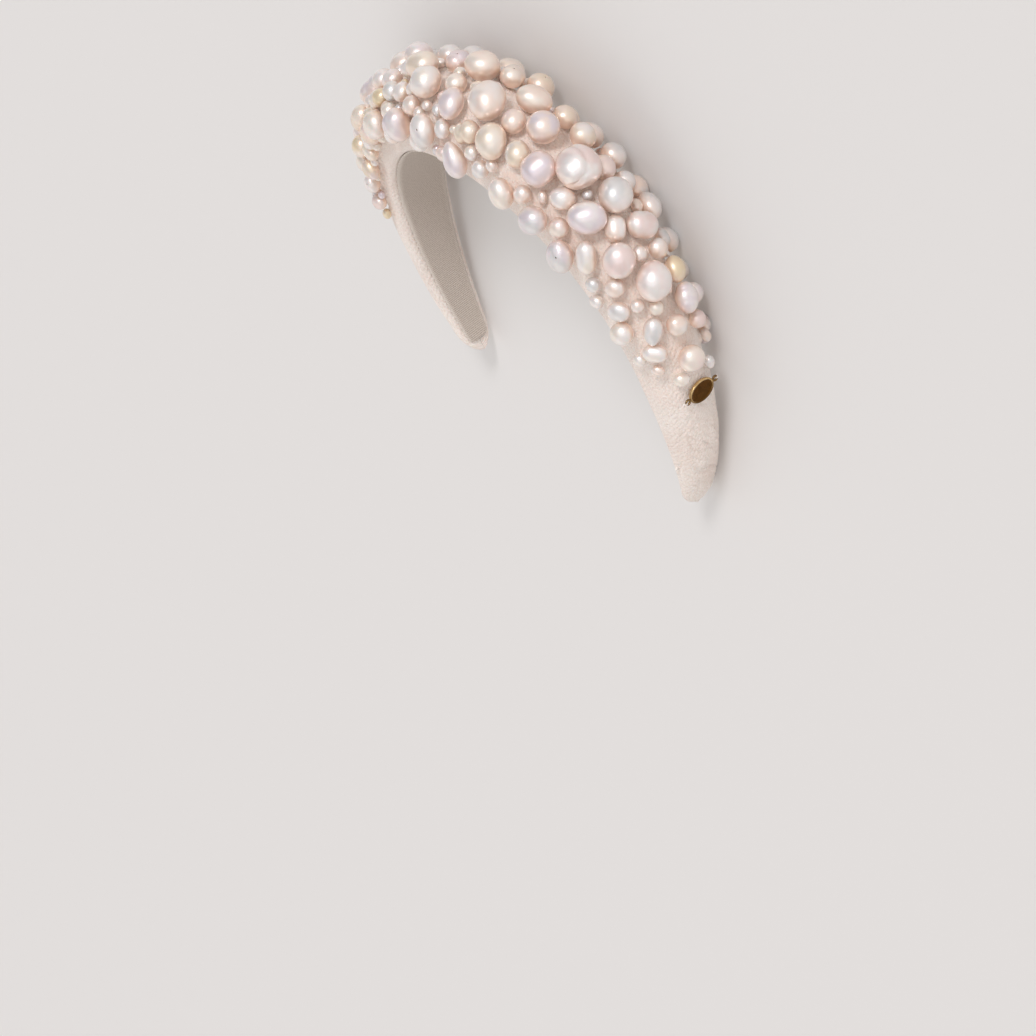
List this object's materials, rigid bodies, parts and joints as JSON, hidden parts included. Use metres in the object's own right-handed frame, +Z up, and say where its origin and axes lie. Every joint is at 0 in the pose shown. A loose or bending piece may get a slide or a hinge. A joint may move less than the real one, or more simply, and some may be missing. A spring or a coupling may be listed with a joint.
{
  "type": "pearl headband",
  "caption": "Padded headband covered in silk, its top crowded with baroque pearls of many sizes, with bare tapered ends, an inner ribbon lining and a small oval plate.",
  "frame": {"origin": "bottom centre of the bounding box: the headband lies on its back edge on a surface, as it comes to rest by itself", "axes": "+X to the wearer's left, +Y from the ends to the crown, +Z up, which is about the wearer's front"},
  "size_m": [0.1928, 0.175, 0.0526],
  "materials": {
    "cover": "blush silk crepe drawn over padding, with sewn pearls",
    "lining": "flat ribbon",
    "plate": "polished",
    "pearl": "lustrous nacre in white, rose and silver tones"
  },
  "bodies": {
    "root": {"beaded_band": "cover", "lining": "lining", "tag_plate": "plate", "pearl_01": "pearl", "pearl_02": "pearl", "pearl_03": "pearl", "pearl_04": "pearl", "pearl_05": "pearl", "pearl_06": "pearl", "pearl_07": "pearl", "pearl_08": "pearl", "pearl_09": "pearl", "pearl_10": "pearl", "pearl_11": "pearl", "pearl_12": "pearl", "pearl_13": "pearl", "pearl_14": "pearl", "pearl_15": "pearl", "pearl_16": "pearl", "pearl_17": "pearl", "pearl_18": "pearl", "pearl_19": "pearl", "pearl_20": "pearl", "pearl_21": "pearl", "pearl_22": "pearl", "pearl_23": "pearl", "pearl_24": "pearl", "pearl_25": "pearl", "pearl_26": "pearl", "pearl_27": "pearl", "pearl_28": "pearl", "pearl_29": "pearl", "pearl_30": "pearl", "pearl_31": "pearl", "pearl_32": "pearl", "pearl_33": "pearl", "pearl_34": "pearl", "pearl_35": "pearl", "pearl_36": "pearl", "pearl_37": "pearl", "pearl_38": "pearl"}
  },
  "joints": []
}
